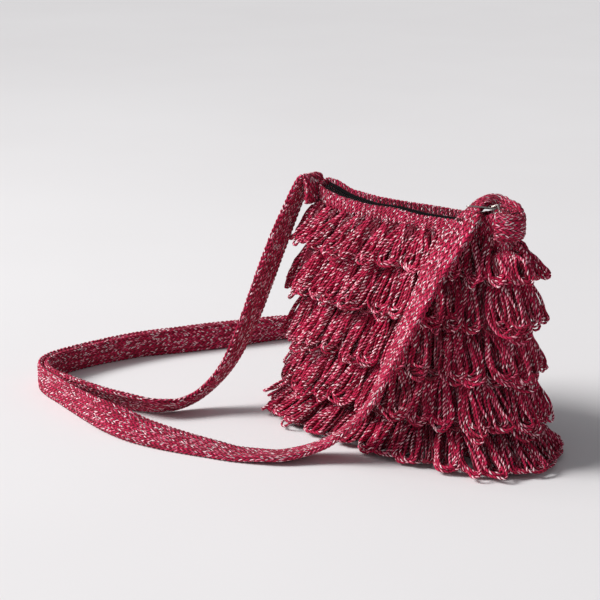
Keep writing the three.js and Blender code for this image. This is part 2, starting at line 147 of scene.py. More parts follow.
# The strap's middle line: x, y, z (None where it lies on the surface), direction across it, width.
STRAP_LEFT = [
    (-93.6, -4, 175, (0, -1, 0)),
    (-93.6, -4, 183, (0, -1, 0)),
    (-93.9, -3.8, 190, (0, -1, 0)),
    (-95.4, -3.3, 194.2, (0, -1, 0)),
    (-98.2, -3.2, 196.2, (0, -1, 0.05)),
    (-101.8, -4.6, 193.4, (0.08, -1, 0.1)),
    (-105, -7.8, 185.5, (0.13, -0.96, 0.18)),
    (-109.1, -12.8, 171.4, (0.1, -0.95, 0.28)),
    (-116.4, -22.2, 143, (-0.02, -0.94, 0.31)),
    (-124, -32.2, 110.1, (-0.04, -0.94, 0.31)),
    (-131.9, -41.9, 76.8, (0.02, -0.93, 0.36)),
    (-141, -55.5, 43.6, (0.22, -0.9, 0.38)),
    (-150, -66, 26, (0.38, -0.79, 0.46)),
    (-160.5, -78, 13.5, (0.55, -0.6, 0.58)),
    (-170, -93, None, (0.6, -0.5, 0.6)),
    (-182, -105.5, None, (0.38, -0.62, 0.68)),
    (-200, -112, None, (0.12, -0.6, 0.79)),
    (-220, -115.5, None, (0.08, -0.56, 0.82)),
    (-243, -119, None, (0.05, -0.42, 0.9)),
    (-263, -121.5, None, (0, -0.15, 1)),
]

# Where the strap lies doubled on its edge: x and y of the line between its two layers, and their
# lean in degrees.
STRAP_DOUBLED = [
    (-284, -123, 0),
    (-299, -116, 0),
    (-309, -106.5, 0),
    (-314, -95, 5),
    (-315, -82, 12),
    (-313, -64, 15),
    (-308, -43, 15),
    (-301.5, -23, 12),
    (-293.5, -3, 10),
    (-284, 12.5, 5),
    (-274, 28, 0),
    (-264, 44.5, -5),
    (-253.5, 61, -8),
    (-243, 79, 0),
    (-233, 97.5, 10),
    (-221, 116, 15),
    (-205, 131.5, 15),
    (-186, 143.5, 8),
]

# The turn that joins the two layers: x and y.
STRAP_TURN = [(-170, 145.5), (-158, 149.5), (-153, 156), (-157, 162), (-170, 159)]

# From the doubled stretch up over the front of the bag to the right corner, as in STRAP_LEFT.
STRAP_RIGHT = [
    (-262, -132.5, None, (0, 0, 1)),
    (-240, -139, None, (0, 0.05, 1)),
    (-218, -145, None, (0.02, 0.15, 1)),
    (-196, -149.5, None, (0.04, 0.35, 0.93)),
    (-174, -150.5, None, (0, 0.65, 0.76)),
    (-154, -149, None, (-0.1, 0.85, 0.5)),
    (-134, -145.5, None, (-0.18, 0.92, 0.36)),
    (-114, -140.5, None, (-0.25, 0.94, 0.22)),
    (-94, -134.5, None, (-0.25, 0.96, 0.1)),
    (-75, -129, None, (-0.4, 0.92, 0)),
    (-58, -122, None, (-0.6, 0.8, -0.08)),
    (-42.5, -113.5, None, (-0.74, 0.66, -0.14)),
    (-26.5, -97.3, 8, (-0.56, 0.81, -0.15)),
    (-14, -88, 15, (-0.47, 0.88, -0.08)),
    (-2.8, -82, 25.5, (-0.45, 0.88, -0.1)),
    (9.5, -74, 42, (-0.52, 0.85, 0)),
    (21.8, -69, 69, (-0.6, 0.8, 0.06)),
    (33.3, -63, 99.7, (-0.76, 0.64, 0.14)),
    (41, -56.5, 123, (-0.86, 0.49, 0.14)),
    (48.3, -48, 147, (-0.93, 0.33, 0.12)),
    (54.3, -36.5, 166, (-0.98, 0.15, 0.08)),
    (57, -24.5, 178, (-0.99, 0.1, 0)),
    (56.5, -12.5, 185.6, (-0.95, 0.2, -0.2), 23),
    (53.1, -3.5, 187.7, (-0.95, 0.22, -0.17), 16),
    (53.2, 0.4, 188.9, (-0.94, 0.3, -0.14), 14),
    (57, 5.7, 194.9, (-0.85, 0.45, -0.12), 15),
    (64.5, 13.7, 195.1, (-0.45, 0.45, 0.75), 13),
    (73, 14.8, 189.6, (-0.05, -0.05, 1), 17),
    (80.5, 13.9, 188.8, (0, -0.12, 1), 18),
    (87.3, 11, 183.4, (-0.05, -0.1, 1), 17.5),
    (92, 6, 182.6, (0, 0, 1), 17.5),
    (94, -0.5, 182.6, (0, 0, 1), 19),
    (91.8, -7.4, 182.8, (0, 0.06, 1), 19.5),
    (86.5, -11.9, 183, (0, 0.14, 1), 20),
    (80.5, -13.2, 183.2, (0, 0.15, 1), 20),
]


# ---- meshes from arrays ----

def unit(vectors):
    return vectors / np.maximum(np.linalg.norm(vectors, axis=-1, keepdims=True), 1e-9)


def ramp(values, start, end):
    """0 at start and before it, 1 at end and past it, and straight between them."""
    return np.clip((values - start) / (end - start), 0, 1)


def line_lengths(x, y):
    """Length of a line from its start to each of its points."""
    return np.concatenate([[0], np.cumsum(np.hypot(np.diff(x), np.diff(y)))])


def new_object(name, vertices, quads, triangles=None, maps=None):
    """An object from arrays: vertices in millimetres, faces, a (corner, 2) array for each UV map."""
    triangles = np.empty((0, 3), int) if triangles is None else triangles
    corners = np.concatenate([quads.ravel(), triangles.ravel()]).astype(np.int32)
    starts = np.concatenate([
        np.arange(len(quads)) * 4,
        len(quads) * 4 + np.arange(len(triangles)) * 3,
    ]).astype(np.int32)
    mesh = bpy.data.meshes.new(name)
    mesh.vertices.add(len(vertices))
    mesh.vertices.foreach_set("co", (vertices * MM).astype(np.float32).ravel())
    mesh.loops.add(len(corners))
    mesh.loops.foreach_set("vertex_index", corners)
    mesh.polygons.add(len(starts))
    mesh.polygons.foreach_set("loop_start", starts)
    mesh.update(calc_edges=True)
    mesh.shade_smooth()
    for label, places in (maps or {}).items():
        layer = mesh.uv_layers.new(name=label)
        layer.uv.foreach_set("vector", places.astype(np.float32).ravel())
    obj = bpy.data.objects.new(name, mesh)
    bpy.context.scene.collection.objects.link(obj)
    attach(obj, BODY)
    return obj


def grid(rings, columns, closed=False):
    """Quads of a tube of rings, each ring closed on itself, as (ring, column, 4) vertex numbers.
    Faces point out where the rings turn anticlockwise as seen from the tube's far end."""
    steps = rings if closed else rings - 1
    r = np.arange(steps)[:, None]
    c = np.arange(columns)[None, :]
    here, after = r * columns, ((r + 1) % rings) * columns
    turn = (c + 1) % columns
    return np.stack([here + c, here + turn, after + turn, after + c], axis=-1)


def corner_map(around, along):
    """UV of each corner of a grid. around has a value more than the columns, along than the steps."""
    u0, v0 = np.meshgrid(around[:-1], along[:-1])
    u1, v1 = np.meshgrid(around[1:], along[1:])
    return np.stack([
        np.stack([u0, v0], -1),
        np.stack([u1, v0], -1),
        np.stack([u1, v1], -1),
        np.stack([u0, v1], -1),
    ], axis=2)


def caps(rings, columns, first_new):
    """Triangles that close both ends of an open tube, each round a vertex after all the others."""
    c = np.arange(columns)
    turn = (c + 1) % columns
    last = (rings - 1) * columns
    start = np.stack([np.full(columns, first_new), turn, c], -1)
    end = np.stack([np.full(columns, first_new + 1), last + c, last + turn], -1)
    return np.concatenate([start, end])


# ---- the yarn of the loops ----

def superpower(values, power):
    return np.sign(values) * np.abs(values) ** power


def outline(half_width, half_depth, angle):
    x = half_width * superpower(np.cos(angle), 2 / SQUARENESS)
    y = half_depth * superpower(np.sin(angle), 2 / SQUARENESS)
    return x, y


ANGLES = np.linspace(0, 2 * math.pi, 4001)
LENGTHS = line_lengths(*outline(LOOPS_HALF_WIDTH, LOOPS_HALF_DEPTH, ANGLES))
PERIMETER = LENGTHS[-1]
SHARES = LENGTHS / PERIMETER


def turn_at(share):
    """The outline's angle at a share of its length."""
    return np.interp(share % 1.0, SHARES, ANGLES)


def wall_point(share, z, out):
    """A point that stands out from the pouch's side, at a share of its outline and a height."""
    low = np.clip(z, 0, POUCH[-1, 0])
    half_width = np.interp(low, POUCH[:, 0], POUCH[:, 1]) + out
    half_depth = np.interp(low, POUCH[:, 0], POUCH[:, 2]) + out
    x, y = outline(half_width, half_depth, turn_at(share))
    return np.stack([x, y, z], axis=-1)


def tubes(paths, radius, sides, rng, first_turn=0):
    """Closed rings of lumpy yarn as one set of arrays. paths is (count, points, 3)."""
    count, points, _ = paths.shape
    tangent = unit(np.roll(paths, -1, 1) - np.roll(paths, 1, 1))
    middle = paths.mean(1, keepdims=True)
    swept = np.cross(paths - middle, np.roll(paths, -1, 1) - middle)
    plane = unit(swept.sum(1, keepdims=True))
    side = unit(np.cross(tangent, plane))
    up = np.cross(side, tangent)
    turn = np.arange(sides) * 2 * math.pi / sides
    around = (
        np.cos(turn)[None, None, :, None] * side[:, :, None]
        + np.sin(turn)[None, None, :, None] * up[:, :, None]
    )
    lumps = 1 + rng.uniform(-YARN_LUMPS, YARN_LUMPS, (count, points, 1, 1))
    vertices = paths[:, :, None] + around * radius * lumps
    vertices[..., 2] = np.maximum(vertices[..., 2], YARN_LEAST_Z)
    faces = grid(points, sides, closed=True)
    quads = faces[None] + (np.arange(count) * points * sides)[:, None, None, None]
    steps = np.linalg.norm(np.roll(paths, -1, 1) - paths, axis=-1)
    along = np.concatenate([np.zeros((count, 1)), np.cumsum(steps, 1)], axis=1)
    along += rng.uniform(0, LONGEST_SHIFT, (count, 1))
    u = np.arange(sides + 1) / sides + first_turn
    maps = np.stack([corner_map(u, row) for row in along])
    return vertices.reshape(-1, 3), quads.reshape(-1, 4), maps.reshape(-1, 2)


def lean_at(x):
    """How far the lower end of a loop of middle length hangs towards +X of its root."""
    return np.interp(x, [-100, -60, 0, 40, 70, 100], [-16, -14, -8, 1, 9, 14])


def openness_at(x):
    """Share of a bunch's width that its innermost loop keeps. It is more towards +X, where the bunches
    stand open."""
    return np.interp(x, [-100, 0, 40, 100], [0.16, 0.24, 0.5, 0.56])


def hanging_loop(points, half, drop):
    """An even walk round a hanging loop, two legs and a round bottom: how far sideways, and how far
    below the root."""
    leg = drop - half
    s = np.arange(points) / points * (2 * leg + math.pi * half)
    turn = np.clip((s - leg) / half, 0, math.pi)
    below = np.clip(np.where(turn < math.pi, s, 2 * leg + math.pi * half - s), 0, leg)
    spread = 0.08 + 0.92 * np.sin(below / leg * math.pi / 2) ** 1.3
    return half * np.cos(turn) * spread, below + half * np.sin(turn)


def loop_path(tier, points, where, half, drop, lean, out, tilt, waves, rng):
    """The middle line of one loop, hung from the tier's root at a share of the outline."""
    _, root, hem, rise, stand_off = tier
    wide, below = hanging_loop(points, half, drop)
    share = below / drop
    t = np.linspace(0, 2 * math.pi, points, endpoint=False)
    phase = rng.uniform(0, 2 * math.pi, 3)
    sideways = wide * math.cos(tilt) + lean * share
    sideways += waves * share * (0.7 * np.sin(3 * t + phase[0]) + 0.4 * np.sin(5 * t + phase[1]))
    outward = np.interp(share, [0, 0.2, 1], [ROOT_OUT, SHOULDER_OUT, stand_off - 1])
    outward += share * out + wide * math.sin(tilt)
    outward += waves * 0.7 * share * np.sin(4 * t + phase[2])
    x_share = outline(1, 1, turn_at(np.array(where)))[0]
    level = rise * (0.5 + 0.5 * x_share) + (tier is TIERS[0]) * CORNER_LIFT * max(0, -x_share) ** 8
    z = root + level + rng.uniform(-3, 3.5) * (1 - share) - below
    if hem == 0:
        least = YARN + 0.4 + rng.uniform(0, 3.5)
        z = least + np.logaddexp(0, (z - least) / 2.5) * 2.5 - 0.02
    outward = np.maximum(outward, ROOT_OUT)
    return wall_point(where + sideways / PERIMETER, np.maximum(z, YARN), outward)


def loop_paths(tier, rng, layer):
    """One layer of a tier's loops, in bunches of nested ones. layer is 0 outside and 1 inside."""
    per_bunch, points, _ = LAYERS[layer]
    reach = tier[1] - tier[2]
    paths = []
    for bunch in range(BUNCHES):
        centre = (bunch + 0.5 * layer + rng.uniform(-0.22, 0.22)) / BUNCHES
        angle = turn_at(np.array(centre))
        x = LOOPS_HALF_WIDTH * outline(1, 1, angle)[0]
        openness = openness_at(x) * rng.uniform(0.7, 1.2) * (1 - 0.5 * layer)
        bunch_lean = lean_at(x) * -np.sin(angle) + rng.uniform(-4, 4)
        bunch_drop = reach * rng.uniform(0.94, 1.05)
        bunch_out = rng.uniform(-1.5, 1.2) - LAYER_SINK * layer
        half = (PERIMETER / BUNCHES) * rng.uniform(0.42, 0.6)
        for strand in range(per_bunch):
            nest = (strand + rng.uniform(-0.3, 0.3)) / per_bunch
            stray = layer == 0 and rng.random() < STRAY_SHARE
            width = max(half * (1 - (1 - openness) * nest) * rng.uniform(0.85, 1.12), NARROWEST)
            drop = bunch_drop * (1 - 0.13 * nest + rng.uniform(-0.06, 0.04) + 0.08 * stray)
            where = centre + rng.uniform(-2.4, 2.4) / PERIMETER
            lean = (bunch_lean + rng.uniform(-2, 2)) * reach / MIDDLE_REACH
            out = bunch_out - rng.uniform(0, 3.4) * (1 - layer) + 4.5 * stray
            tilt = rng.uniform(-0.3, 0.3) + 0.4 * stray
            waves = 1.3 + 0.6 * stray
            paths.append(loop_path(tier, points, where, width, drop, lean, out, tilt, waves, rng))
    for number, degrees, past, half in SINGLE_LOOPS if layer == 0 else []:
        if TIERS[number - 1] is tier:
            where = np.interp(math.radians(degrees), ANGLES, SHARES)
            for _ in range(2):
                width, out = half * rng.uniform(0.7, 1.1), past * rng.uniform(0.7, 1)
                drop = reach * rng.uniform(0.84, 0.96)
                lean = rng.uniform(-4, 4)
                paths.append(loop_path(
                    tier, points, where, width, drop, lean, out, tilt=0.7, waves=1.2, rng=rng))
    return np.stack(paths)


def bring_to_strap(points, strap):
    """The front loops' points, brought out to the -X edge of the strap where it crosses them."""
    line, across, _, width, _ = strap
    edge = line - across * np.sign(across[:, :1]) * width[:, None] / 2
    edge = edge[(line[:, 0] > 0) & (line[:, 1] < -20) & (line[:, 2] > 30) & (line[:, 2] < 170)]
    x, y, z = np.moveaxis(points, -1, 0)
    beside = x - np.interp(z, edge[:, 2], edge[:, 0])
    on_front = ramp(y, -16, -30)
    between = ramp(z, 22, 42) * ramp(z, 168, 143)
    out = np.interp(beside, PLACE_FROM_EDGE, BROUGHT_OUT)
    return np.stack([x, y - out * on_front * between, z], axis=-1)


def press_under_strap(points, strap):
    """The loops' points, pressed towards the bag where the strap lies over them, and deeper on its +X
    side."""
    line, across, face, width, _ = strap
    tangent = np.cross(across, face)
    over = (np.abs(line[:, 0]) < 135) & (np.abs(line[:, 1]) < 100)
    line, across, face, width, tangent = (v[over] for v in (line, across, face, width, tangent))
    face = face * np.sign((face[:, :2] * line[:, :2]).sum(-1, keepdims=True))
    flat = points.reshape(-1, 3)
    # In twelve parts, so that the table of distances stays small.
    nearest = np.concatenate([
        np.linalg.norm(part[:, None] - line[None], axis=-1).argmin(1)
        for part in np.array_split(flat, 12)
    ])
    apart = flat - line[nearest]
    beside = np.abs((apart * across[nearest]).sum(-1)) - width[nearest] / 2
    front = (apart * face[nearest]).sum(-1)
    right = (apart * across[nearest]).sum(-1) * across[nearest, 0] > 0
    margin = np.where(right, GUTTER, MARGIN)
    most = -(STRAP_THICKNESS / 2 + STRAP_PROUD + YARN + 0.3) - GUTTER_DEPTH * right * (beside > 0)
    past_end = np.abs((apart * tangent[nearest]).sum(-1)) > OVER_LOOPS_PITCH + 0.5
    far_out = front >= 16
    share = ramp(beside, margin, margin - 3.5) * ~far_out * ~past_end
    shift = np.minimum(most - front, 0) * share
    return (flat + face[nearest] * shift[:, None]).reshape(points.shape)


# ---- the strap ----

def lying_height(across):
    x, y, z = across
    rise = abs(z) / math.sqrt(x * x + y * y + z * z)
    return (rise * STRAP_WIDTH + math.sqrt(1 - rise * rise) * STRAP_THICKNESS) / 2


def layer_rows(side):
    """One layer of the doubled stretch, to the right (1) or left (-1) of the line between them."""
    rows = []
    for i, (x, y, lean) in enumerate(STRAP_DOUBLED):
        before = STRAP_DOUBLED[max(i - 1, 0)]
        after = STRAP_DOUBLED[min(i + 1, len(STRAP_DOUBLED) - 1)]
        right = unit(np.array([after[1] - before[1], before[0] - after[0]], float))
        shift = side * LAYER_PITCH / 2
        slope = math.radians(lean)
        across = (math.sin(slope) * right[0], math.sin(slope) * right[1], math.cos(slope))
        rows.append((x + right[0] * shift, y + right[1] * shift, None, across))
    return rows


def strap_rows():
    turn = [(x, y, None, (0, 0, 1)) for x, y in STRAP_TURN]
    return [*STRAP_LEFT, *layer_rows(1), *turn, *layer_rows(-1)[::-1], *STRAP_RIGHT]


def centripetal(points, steps):
    """Points along the smooth line through all the given ones, steps of them for each stretch."""
    ends = [2 * points[0] - points[1], *points, 2 * points[-1] - points[-2]]
    t = np.arange(steps)[:, None] / steps
    line = []
    for a, b, c, d in zip(ends, ends[1:], ends[2:], ends[3:]):
        before, here, after = (
            math.sqrt(np.linalg.norm(q - p)) for p, q in ((a, b), (b, c), (c, d)))
        leave = (b - a) / before - (c - a) / (before + here) + (c - b) / here
        arrive = (c - b) / here - (d - b) / (here + after) + (d - c) / after
        leave, arrive = leave * here, arrive * here
        line.append(
            b + leave * t + (3 * (c - b) - 2 * leave - arrive) * t ** 2
            + (2 * (b - c) + leave + arrive) * t ** 3
        )
    return np.concatenate([*line, points[-1][None]])


def strap_line(pitch):
    """Even sections along the strap: middles, directions across, faces, widths, places along it."""
    rows = strap_rows()
    steps = 24
    points = np.array([
        (row[0], row[1], lying_height(row[3]) if row[2] is None else row[2]) for row in rows
    ], float)
    line = centripetal(points, steps)
    places = np.arange(len(line)) / steps
    numbers = np.arange(len(rows))
    across = np.stack([
        np.interp(places, numbers, [unit(np.array(row[3], float))[k] for row in rows])
        for k in range(3)
    ], axis=-1)
    width = np.interp(places, numbers, [row[4] if len(row) > 4 else STRAP_WIDTH for row in rows])
    along = np.concatenate([[0], np.cumsum(np.linalg.norm(np.diff(line, axis=0), axis=1))])
    count = int(along[-1] / pitch)
    at = np.linspace(0, along[-1], count)
    line = np.stack([np.interp(at, along, line[:, k]) for k in range(3)], -1)
    across = np.stack([np.interp(at, along, across[:, k]) for k in range(3)], -1)
    width = np.interp(at, along, width)
    half = int(SMOOTHED_OVER / pitch)
    line, across, width = (smoothed(v, half) for v in (line, across, width))
    tangent = unit(np.gradient(line, axis=0))
    across = unit(across - (across * tangent).sum(-1, keepdims=True) * tangent)
    face = np.cross(tangent, across)
    reach = (np.abs(across[:, 2]) * width + np.abs(face[:, 2]) * STRAP_THICKNESS) / 2
    line[:, 2] = np.maximum(line[:, 2], reach)
    return line, across, face, width, at


def smoothed(values, half):
    """A running mean over half steps each way, which leaves both ends where they are."""
    flat = values.reshape(len(values), -1)
    padded = np.concatenate([
        2 * flat[0] - flat[half:0:-1], flat, 2 * flat[-1] - flat[-2:-half - 2:-1],
    ])
    kernel = np.ones(2 * half + 1) / (2 * half + 1)
    mean = np.stack([np.convolve(padded[:, k], kernel, "valid") for k in range(flat.shape[1])], -1)
    return mean.reshape(values.shape)


# Stitches: columns of V shapes. A map holds a column's number and a row's number.

STITCH_SLOPE = 0.9  # rows that a V rises from its middle to its edge


def stitch_relief(column, row):
    """Height of the stitches' crowns, from 0 in the grooves to 1, at column and row numbers."""
    across = np.abs(np.sin(math.pi * column)) ** 0.5
    crown = np.abs(np.sin(math.pi * (row + 0.5 * (np.floor(column) % 2)))) ** 0.6
    return (0.35 + 0.65 * across) * (0.35 + 0.65 * crown)


def rounded_strip(angle):
    """The strap's section: share of half its width, and share of half its thickness."""
    return superpower(np.cos(angle), 0.36), superpower(np.sin(angle), 0.6)


def section_points(count):
    """An even walk round the strap's section, as shares."""
    angle = np.linspace(0, 2 * math.pi, 2001)
    x, y = rounded_strip(angle)
    length = line_lengths(x * STRAP_WIDTH / 2, y * STRAP_THICKNESS / 2)
    at = np.linspace(0, length[-1], count, endpoint=False)
    return rounded_strip(np.interp(at, length, angle))


def cloth_tube(name, rings, ends, columns, rows):
    """A closed tube of crocheted cloth, from its rings of points and a point for each end. columns
    and rows are the numbers of the stitches round it and along it."""
    count, around, _ = rings.shape
    triangles = caps(count, around, count * around)
    stitches = corner_map(columns, rows).reshape(-1, 2)
    stitches = np.concatenate([stitches, np.zeros((len(triangles) * 3, 2))])
    tube = new_object(
        name,
        np.concatenate([rings.reshape(-1, 3), np.stack(ends)]),
        grid(count, around).reshape(-1, 4),
        triangles,
        {"stitch": stitches},
    )
    fix_normals(tube)
    tube.data.materials.append(crochet)
    return tube


STRAP_COLUMNS = 12
STRAP_ROW = 4.1  # length of a stitch along the strap
STRAP_PROUD = 0.4  # of the stitches' crowns past the strap's plain faces
EDGE_PROUD = 0.9  # of the crowns past its plain edges
STRAP_RELIEF = 1.4  # depth of the grooves between the stitches
GATHERED_WIDTH = 12  # of the strap where its crowns no longer stand past its edges


def make_strap():
    around, pitch = 44, 0.85
    line, across, face, width, at = strap_line(pitch)
    x, y = section_points(around)
    rows = at / STRAP_ROW + 0.12 * np.sin(at / 17) + 0.07 * np.sin(at / 7.3 + 2)
    columns = np.arange(around + 1) * STRAP_COLUMNS / around + 0.25
    relief = stitch_relief(columns[None, :-1], rows[:, None])
    proud = EDGE_PROUD * ramp(width, GATHERED_WIDTH, STRAP_WIDTH)
    half_width = (width / 2 + proud)[:, None] - STRAP_RELIEF * (1 - relief)
    half_thick = STRAP_THICKNESS / 2 + STRAP_PROUD - STRAP_RELIEF * (1 - relief)
    points = (
        line[:, None]
        + across[:, None] * (x * half_width)[..., None]
        + face[:, None] * (y * half_thick)[..., None]
    )
    points[..., 2] = np.maximum(points[..., 2], STRAP_LEAST_Z)
    strap = cloth_tube("crochet_strap", points, (line[0], line[-1]), columns, rows)
    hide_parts("strap")
    return strap


def fix_normals(obj):
    """Turns every face over where the closed mesh's faces point in."""
    mesh = obj.data
    mesh.calc_loop_triangles()
    corners = np.empty(len(mesh.loop_triangles) * 3, np.int32)
    mesh.loop_triangles.foreach_get("vertices", corners)
    places = np.empty(len(mesh.vertices) * 3, np.float32)
    mesh.vertices.foreach_get("co", places)
    a, b, c = places.reshape(-1, 3)[corners.reshape(-1, 3)].transpose(1, 0, 2)
    if (a * np.cross(b, c)).sum() < 0:
        mesh.flip_normals()


# ---- the pouch ----

POUCH_POINTS = 330  # round each of its rings
TOP = POUCH[-1, 0]  # of the plain wall: a band of crochet goes on from here to the rim
BAND_LENGTH = 17  # of the band, as it counts in the stitches' map
BAND_END = 0.93  # share of the way up the band where the rounded rim starts
BAND_SHARE = 0.87  # of the loops' outline, the way round the band
BAND_COLUMN = 3.9
BAND_ROW = 3.5
BAND_RELIEF = 0.8  # depth of the grooves between the stitches
RAISED_FROM, RAISED_TO = 160, 215  # places in the stitches' map between which they stand out
INSIDE_PLACE = 230  # in the map, of the height 0 on the inside, where it starts anew below the band
BASE_SHARES = 0.03, 0.3, 0.6, 0.85  # of the base's width, where its rings lie
RIM_PROUD = 1.5  # of the last round of stitches above the plain front rim


def rim_height(x, side):
    front = np.interp(x, MOUTH[:, 0], MOUTH[:, 1])
    back = np.interp(x, MOUTH[:, 0], MOUTH[:, 2])
    step = ramp(side, -0.3, 0.3)
    return front + (back - front) * step * step * (3 - 2 * step)


def make_pouch():
    share = (np.arange(POUCH_POINTS) + 0.5) / POUCH_POINTS
    angle = turn_at(share)
    side = np.sin(angle)
    columns = np.arange(POUCH_POINTS + 1) * round(PERIMETER * BAND_SHARE / BAND_COLUMN) / POUCH_POINTS

    def mouth(inset, drop):
        x, _ = outline(MOUTH_HALF_WIDTH - inset, 1, angle)
        rounded = np.minimum(1, np.abs(side) * 4)
        depth = (np.interp(x, MOUTH[:, 0], MOUTH[:, 3]) + WALL - inset) * rounded
        crown = RIM_PROUD * np.clip(-side * 2, 0, 1)
        return np.stack([x, np.sign(side) * depth, rim_height(x, side) + crown - drop], -1)

    def wall(z, out):
        return wall_point(share, np.full(POUCH_POINTS, float(z)), np.full(POUCH_POINTS, float(out)))

    def band(f, inset):
        """Between the top of the tiers and the rim: f is 0 at the tiers and 1 at the rim."""
        return wall(TOP, -inset) * (1 - f) + mouth(inset, 0) * f

    # Rings from the middle of the base up the outside, over the rim and down the inside, each with
    # its place along the stitches' map.
    rings = []
    for f in BASE_SHARES:
        rings.append((-30 + 25 * f, wall(0, 0) * [f, f, 1]))
    for z in [0, 1.5, 4, 7, *np.arange(13, 160, 6), *np.arange(161, TOP, 1.2)]:
        rings.append((z, wall(z, 0)))
    for f in np.linspace(0, BAND_END, 16):
        rings.append((TOP + BAND_LENGTH * f, band(f, 0.0)))
    for turn in np.linspace(0, math.pi, 7)[1:-1]:
        inset = WALL / 2 * (1 - math.cos(turn))
        rings.append((TOP + BAND_LENGTH + inset, mouth(inset, 1.2 * (1 - math.sin(turn)))))
    for f in np.linspace(BAND_END, 0, 10):
        rings.append((TOP + BAND_LENGTH + WALL + BAND_LENGTH * (1 - f), band(f, WALL)))
    for z in np.arange(165, 10, -14.0):
        rings.append((INSIDE_PLACE - z, wall(z, -WALL)))
    for f in reversed(BASE_SHARES):
        rings.append((INSIDE_PLACE + 30 - 25 * f, wall(4, -WALL) * [f, f, 1]))
    places, rings = (np.array(values) for values in zip(*rings))
    rows = places / BAND_ROW
    normal = unit(np.cross(
        np.roll(rings, -1, 1) - np.roll(rings, 1, 1), np.gradient(rings, axis=0)))
    relief = stitch_relief(columns[None, :-1], rows[:, None])
    raised = (places > RAISED_FROM) & (places < RAISED_TO)
    rings = rings - normal * (1 - relief)[..., None] * BAND_RELIEF * raised[:, None, None]
    rings[..., 2] = np.maximum(rings[..., 2], 0)
    pouch = cloth_tube("crochet_pouch", rings, (rings[0].mean(0), rings[-1].mean(0)), columns, rows)
    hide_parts("pouch")
    return pouch


# ---- the zip ----

def zip_height(x, y):
    front, gap, twist = (np.interp(x, MOUTH[:, 0], MOUTH[:, k]) for k in (1, 3, 4))
    return front - ZIP_SINK + twist * (0.5 + y / (2 * gap))


def make_coil():
    """The zip's coil: flat rings of thick thread from either tape, in turn along the middle."""
    count = int((SLIDER_X - SLIDER_HALF - ZIP_START) / COIL_PITCH)
    turn = np.linspace(0, 2 * math.pi, COIL_POINTS, endpoint=False)
    rings = []
    for side in (-1, 1):
        x = ZIP_START + (np.arange(count) + 0.5 + 0.25 * side) * COIL_PITCH
        y = side * CHAIN_WIDTH * 0.2 + np.cos(turn) * (CHAIN_WIDTH * 0.3 - COIL_THREAD)
        lift = np.sin(turn) * (CHAIN_THICKNESS / 2 - COIL_THREAD)
        x, y, lift = np.broadcast_arrays(x[:, None], y, lift)
        rings.append(np.stack([x, y, zip_height(x, y) + lift], axis=-1))
    rng = np.random.default_rng(9)
    vertices, quads, _ = tubes(np.concatenate(rings), COIL_THREAD, COIL_SIDES, rng)
    coil_piece = new_object("zip_coil", vertices, quads)
    fix_normals(coil_piece)
    coil_piece.data.materials.append(coil)
    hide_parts("zip_chain")


def round_edges(node, radius):
    """Rounds the edges of a metal piece of the zip."""
    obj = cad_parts[node]
    weld = obj.modifiers.new("weld", "WELD")
    weld.merge_threshold = 0.01 * MM
    bevel = obj.modifiers.new("edges", "BEVEL")
    bevel.width = radius * MM
    bevel.segments = 3
    bevel.limit_method = "ANGLE"
    bevel.harden_normals = True


# ---- materials ----

def srgb(red, green, blue):
    """A colour given as shown on a screen, 0 to 255, in the shader's linear values."""
    def linear(v):
        v /= 255
        return v / 12.92 if v <= 0.04045 else ((v + 0.055) / 1.055) ** 2.4
    return (linear(red), linear(green), linear(blue), 1)


class Nodes:
    """A short way to write a material's nodes."""

    def __init__(self, name):
        self.material = bpy.data.materials.new(name)
        self.material.use_nodes = True
        self.tree = self.material.node_tree
        self.shader = self.tree.nodes["Principled BSDF"]

    def node(self, kind, inputs=None, **settings):
        made = self.tree.nodes.new(kind)
        for key, value in settings.items():
            setattr(made, key, value)
        for key, value in (inputs or {}).items():
            self.put(value, made.inputs[key])
        return made

    def put(self, value, socket):
        if isinstance(value, bpy.types.NodeSocket):
            self.tree.links.new(value, socket)
        else:
            socket.default_value = value

    def math(self, operation, *values):
        made = self.node("ShaderNodeMath", operation=operation)
        for socket, value in zip(made.inputs, values):
            self.put(value, socket)
        return made.outputs[0]

    def xyz(self, x=0.0, y=0.0, z=0.0):
        return self.node("ShaderNodeCombineXYZ", {"X": x, "Y": y, "Z": z}).outputs[0]

    def step(self, value, low, high):
        """0 below low, 1 above high, and smooth between."""
        made = self.node("ShaderNodeMapRange", interpolation_type="SMOOTHSTEP")
        for socket, v in zip(made.inputs, (value, low, high)):
            self.put(v, socket)
        return made.outputs[0]

    def mix(self, share, a, b):
        made = self.node("ShaderNodeMix", data_type="RGBA")
        for socket, value in zip((made.inputs[0], made.inputs[6], made.inputs[7]), (share, a, b)):
            self.put(value, socket)
        return made.outputs[2]

    def noise(self, vector, scale, detail=2.0, roughness=0.5):
        return self.node("ShaderNodeTexNoise", {
            "Vector": vector, "Scale": scale, "Detail": detail, "Roughness": roughness}).outputs[0]

    def uv(self, name):
        made = self.node("ShaderNodeUVMap", uv_map=name)
        split = self.node("ShaderNodeSeparateXYZ", {"Vector": made.outputs[0]})
        return split.outputs[0], split.outputs[1]

    def bump(self, height, distance, strength=1.0):
        made = self.node("ShaderNodeBump", {
            "Height": height, "Distance": distance, "Strength": strength})
        self.put(made.outputs[0], self.shader.inputs["Normal"])

    def set(self, **values):
        for key, value in values.items():
            self.put(value, self.shader.inputs[key.replace("_", " ")])
        return self.material


CRIMSON = srgb(162, 9, 54)
# Painted shade: a dark crimson mixed in where yarn and cloth lie in shade, between the plies, in the
# stitches' grooves and over the inside loops.
PAINTED_SHADE_RED = srgb(56, 2, 12)
BRIGHT = srgb(200, 18, 74)
PALE = srgb(255, 230, 234)
PINK = srgb(236, 112, 144)
MARL_PITCH = 3.2  # millimetres from one pale dash of the yarn to the next
FLECK_SHARE = 0.36  # of the cells along the stitches, those that are pale


